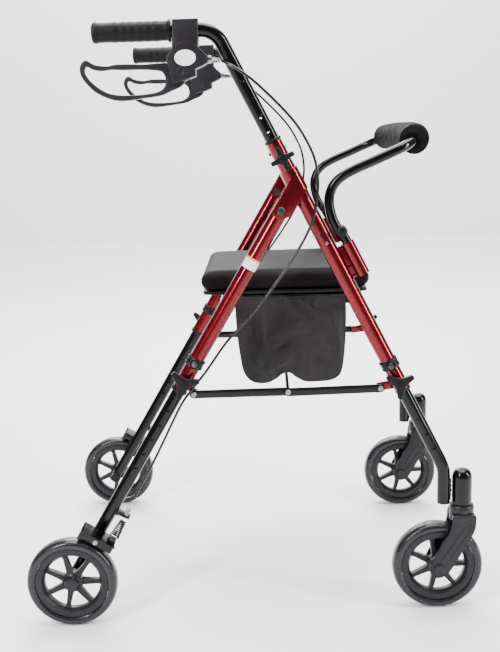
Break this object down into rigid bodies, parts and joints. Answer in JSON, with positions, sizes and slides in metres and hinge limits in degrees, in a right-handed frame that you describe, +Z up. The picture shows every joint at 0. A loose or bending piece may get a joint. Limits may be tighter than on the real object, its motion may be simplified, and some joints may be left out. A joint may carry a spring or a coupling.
{
  "type": "rollator walker",
  "caption": "Folding walker frame on wheels with a padded seat, storage pouch, backrest bar, adjustable handles and cable brakes.",
  "frame": {"origin": "on the floor, midway between the wheels on the middle plane", "axes": "+X forward, +Y to the user's left, +Z up"},
  "size_m": [0.7672, 0.553, 0.9746],
  "materials": {
    "red_paint": "glossy deep red",
    "black_paint": "glossy black",
    "grey_plastic": "moulded dark grey",
    "tyre_rubber": "smooth grey rubber",
    "rubber": "matt black rubber",
    "steel": "zinc plated",
    "seat_vinyl": "grained black vinyl",
    "bag_fabric": "woven nylon",
    "foam": "foam with a fine skin"
  },
  "bodies": {
    "front_frame": {"front_frame_left": "red_paint", "front_frame_right": "red_paint", "front_cross_tube": "black_paint", "handle_collar_left": "grey_plastic", "handle_collar_right": "grey_plastic", "front_collar_left": "grey_plastic", "front_collar_right": "grey_plastic", "hinge_bolt_left": "steel", "hinge_bolt_right": "steel", "bag": "bag_fabric", "brake_cable_left": "rubber", "brake_cable_right": "rubber"},
    "rear_frame": {"rear_tube_left": "red_paint", "rear_tube_right": "red_paint", "rear_cross_tube": "black_paint", "rear_collar_left": "grey_plastic", "rear_collar_right": "grey_plastic"},
    "front_bars": {"front_bar_left": "black_paint", "front_bar_right": "black_paint"},
    "rear_bars": {"rear_bars_and_rod": "black_paint"},
    "seat": {"seat_cushion": "seat_vinyl", "seat_board": "grey_plastic"},
    "backrest": {"backrest_tube": "black_paint", "backrest_pad": "foam"},
    "handle_right": {"handle_tube_right": "black_paint", "grip_right": "rubber", "brake_housing_right": "grey_plastic"},
    "brake_lever_right": {"brake_lever_right": "grey_plastic"},
    "front_leg_right": {"front_leg_right": "black_paint"},
    "caster_right": {"caster_fork_right": "grey_plastic"},
    "caster_wheel_right": {"caster_rim_right": "grey_plastic", "caster_tyre_right": "tyre_rubber"},
    "rear_leg_right": {"rear_leg_right": "black_paint", "brake_spring_right": "steel"},
    "rear_wheel_right": {"rear_rim_right": "grey_plastic", "rear_tyre_right": "tyre_rubber"},
    "brake_shoe_right": {"brake_shoe_right": "black_paint"},
    "handle_knob_right": {"handle_knob_right": "grey_plastic"},
    "front_knob_right": {"front_knob_right": "grey_plastic"},
    "rear_knob_right": {"rear_knob_right": "grey_plastic"},
    "front_button_right": {"front_button_right": "steel"},
    "rear_button_right": {"rear_button_right": "steel"},
    "handle_left": {"handle_tube_left": "black_paint", "grip_left": "rubber", "brake_housing_left": "grey_plastic"},
    "brake_lever_left": {"brake_lever_left": "grey_plastic"},
    "front_leg_left": {"front_leg_left": "black_paint"},
    "caster_left": {"caster_fork_left": "grey_plastic"},
    "caster_wheel_left": {"caster_rim_left": "grey_plastic", "caster_tyre_left": "tyre_rubber"},
    "rear_leg_left": {"rear_leg_left": "black_paint", "brake_spring_left": "steel"},
    "rear_wheel_left": {"rear_rim_left": "grey_plastic", "rear_tyre_left": "tyre_rubber"},
    "brake_shoe_left": {"brake_shoe_left": "black_paint"},
    "handle_knob_left": {"handle_knob_left": "grey_plastic"},
    "front_knob_left": {"front_knob_left": "grey_plastic"},
    "rear_knob_left": {"rear_knob_left": "grey_plastic"},
    "front_button_left": {"front_button_left": "steel"},
    "rear_button_left": {"rear_button_left": "steel"}
  },
  "joints": [
    {"name": "fold", "type": "hinge", "parent": "front_frame", "child": "rear_frame", "pos_m": [0.056, 0, 0.682], "axis": [0, -1, 0], "range_deg": [0, 37], "deforming": ["brake_cable_left", "brake_cable_right", "bag"]},
    {"name": "front_bars_turn", "type": "hinge", "parent": "front_frame", "child": "front_bars", "pos_m": [0.212, 0, 0.389], "axis": [0, 1, 0], "range_deg": [0, 54.32]},
    {"name": "rear_bars_turn", "type": "hinge", "parent": "rear_frame", "child": "rear_bars", "pos_m": [-0.094, 0, 0.385], "axis": [0, -1, 0], "range_deg": [0, 50.75]},
    {"name": "seat_lift", "type": "hinge", "parent": "front_frame", "child": "seat", "pos_m": [0.18025, 0, 0.522], "axis": [0, 1, 0], "range_deg": [0, 80]},
    {"name": "backrest_lift", "type": "slide", "parent": "front_frame", "child": "backrest", "axis": [-0.4472, 0, 0.8944], "range_m": [0, 0.045]},
    {"name": "handle_height_right", "type": "slide", "parent": "front_frame", "child": "handle_right", "axis": [-0.4472, 0, 0.8944], "range_m": [-0.1, 0.025], "deforming": ["brake_cable_right"]},
    {"name": "brake_squeeze_right", "type": "hinge", "parent": "handle_right", "child": "brake_lever_right", "pos_m": [-0.09, -0.232, 0.897], "axis": [0, 1, 0], "range_deg": [0, 8], "stiffness_Nm_per_rad": 0.5, "springref_deg": -8.59},
    {"name": "front_height_right", "type": "slide", "parent": "front_frame", "child": "front_leg_right", "axis": [-0.4472, 0, 0.8944], "range_m": [0, 0.1]},
    {"name": "caster_swivel_right", "type": "hinge", "parent": "front_leg_right", "child": "caster_right", "pos_m": [0.348, -0.224, 0.184], "axis": [0, 0, 1], "continuous": true},
    {"name": "caster_roll_right", "type": "hinge", "parent": "caster_right", "child": "caster_wheel_right", "pos_m": [0.3076, -0.224, 0.076], "axis": [0, 1, 0], "continuous": true},
    {"name": "rear_height_right", "type": "slide", "parent": "rear_frame", "child": "rear_leg_right", "axis": [0.5145, 0, 0.8575], "range_m": [0, 0.1], "deforming": ["brake_cable_right"]},
    {"name": "rear_roll_right", "type": "hinge", "parent": "rear_leg_right", "child": "rear_wheel_right", "pos_m": [-0.3076, -0.26, 0.076], "axis": [0, 1, 0], "continuous": true},
    {"name": "brake_press_right", "type": "hinge", "parent": "rear_leg_right", "child": "brake_shoe_right", "pos_m": [-0.2638, -0.25, 0.149], "axis": [0, -1, 0], "range_deg": [0, 8], "deforming": ["brake_spring_right"]},
    {"name": "handle_knob_turn_right", "type": "hinge", "parent": "front_frame", "child": "handle_knob_right", "pos_m": [0.06, -0.25, 0.7625], "axis": [0, -1, 0], "continuous": true},
    {"name": "front_knob_turn_right", "type": "hinge", "parent": "front_frame", "child": "front_knob_right", "pos_m": [0.24125, -0.25, 0.4], "axis": [0, -1, 0], "continuous": true},
    {"name": "rear_knob_turn_right", "type": "hinge", "parent": "rear_frame", "child": "rear_knob_right", "pos_m": [-0.1081, -0.25, 0.4085], "axis": [0, -1, 0], "continuous": true},
    {"name": "front_button_press_right", "type": "slide", "parent": "front_frame", "child": "front_button_right", "axis": [0, 1, 0], "range_m": [0, 0.003], "stiffness_N_per_m": 300, "springref_m": -0.001},
    {"name": "rear_button_press_right", "type": "slide", "parent": "rear_frame", "child": "rear_button_right", "axis": [0, 1, 0], "range_m": [0, 0.003], "stiffness_N_per_m": 300, "springref_m": -0.001},
    {"name": "handle_height_left", "type": "slide", "parent": "front_frame", "child": "handle_left", "axis": [-0.4472, 0, 0.8944], "range_m": [-0.1, 0.025], "deforming": ["brake_cable_left"]},
    {"name": "brake_squeeze_left", "type": "hinge", "parent": "handle_left", "child": "brake_lever_left", "pos_m": [-0.09, 0.232, 0.897], "axis": [0, 1, 0], "range_deg": [0, 8], "stiffness_Nm_per_rad": 0.5, "springref_deg": -8.59},
    {"name": "front_height_left", "type": "slide", "parent": "front_frame", "child": "front_leg_left", "axis": [-0.4472, 0, 0.8944], "range_m": [0, 0.1]},
    {"name": "caster_swivel_left", "type": "hinge", "parent": "front_leg_left", "child": "caster_left", "pos_m": [0.348, 0.224, 0.184], "axis": [0, 0, 1], "continuous": true},
    {"name": "caster_roll_left", "type": "hinge", "parent": "caster_left", "child": "caster_wheel_left", "pos_m": [0.3076, 0.224, 0.076], "axis": [0, 1, 0], "continuous": true},
    {"name": "rear_height_left", "type": "slide", "parent": "rear_frame", "child": "rear_leg_left", "axis": [0.5145, 0, 0.8575], "range_m": [0, 0.1], "deforming": ["brake_cable_left"]},
    {"name": "rear_roll_left", "type": "hinge", "parent": "rear_leg_left", "child": "rear_wheel_left", "pos_m": [-0.3076, 0.26, 0.076], "axis": [0, 1, 0], "continuous": true},
    {"name": "brake_press_left", "type": "hinge", "parent": "rear_leg_left", "child": "brake_shoe_left", "pos_m": [-0.2638, 0.25, 0.149], "axis": [0, -1, 0], "range_deg": [0, 8], "deforming": ["brake_spring_left"]},
    {"name": "handle_knob_turn_left", "type": "hinge", "parent": "front_frame", "child": "handle_knob_left", "pos_m": [0.06, 0.25, 0.7625], "axis": [0, 1, 0], "continuous": true},
    {"name": "front_knob_turn_left", "type": "hinge", "parent": "front_frame", "child": "front_knob_left", "pos_m": [0.24125, 0.25, 0.4], "axis": [0, 1, 0], "continuous": true},
    {"name": "rear_knob_turn_left", "type": "hinge", "parent": "rear_frame", "child": "rear_knob_left", "pos_m": [-0.1081, 0.25, 0.4085], "axis": [0, 1, 0], "continuous": true},
    {"name": "front_button_press_left", "type": "slide", "parent": "front_frame", "child": "front_button_left", "axis": [0, -1, 0], "range_m": [0, 0.003], "stiffness_N_per_m": 300, "springref_m": -0.001},
    {"name": "rear_button_press_left", "type": "slide", "parent": "rear_frame", "child": "rear_button_left", "axis": [0, -1, 0], "range_m": [0, 0.003], "stiffness_N_per_m": 300, "springref_m": -0.001}
  ],
  "couplings": [
    {"joint": "front_bars_turn", "follows": "fold", "ratio": 1.4599},
    {"joint": "rear_bars_turn", "follows": "fold", "ratio": 1.3634},
    {"joint": "brake_press_right", "follows": "brake_squeeze_right", "ratio": 1},
    {"joint": "brake_press_left", "follows": "brake_squeeze_left", "ratio": 1}
  ]
}
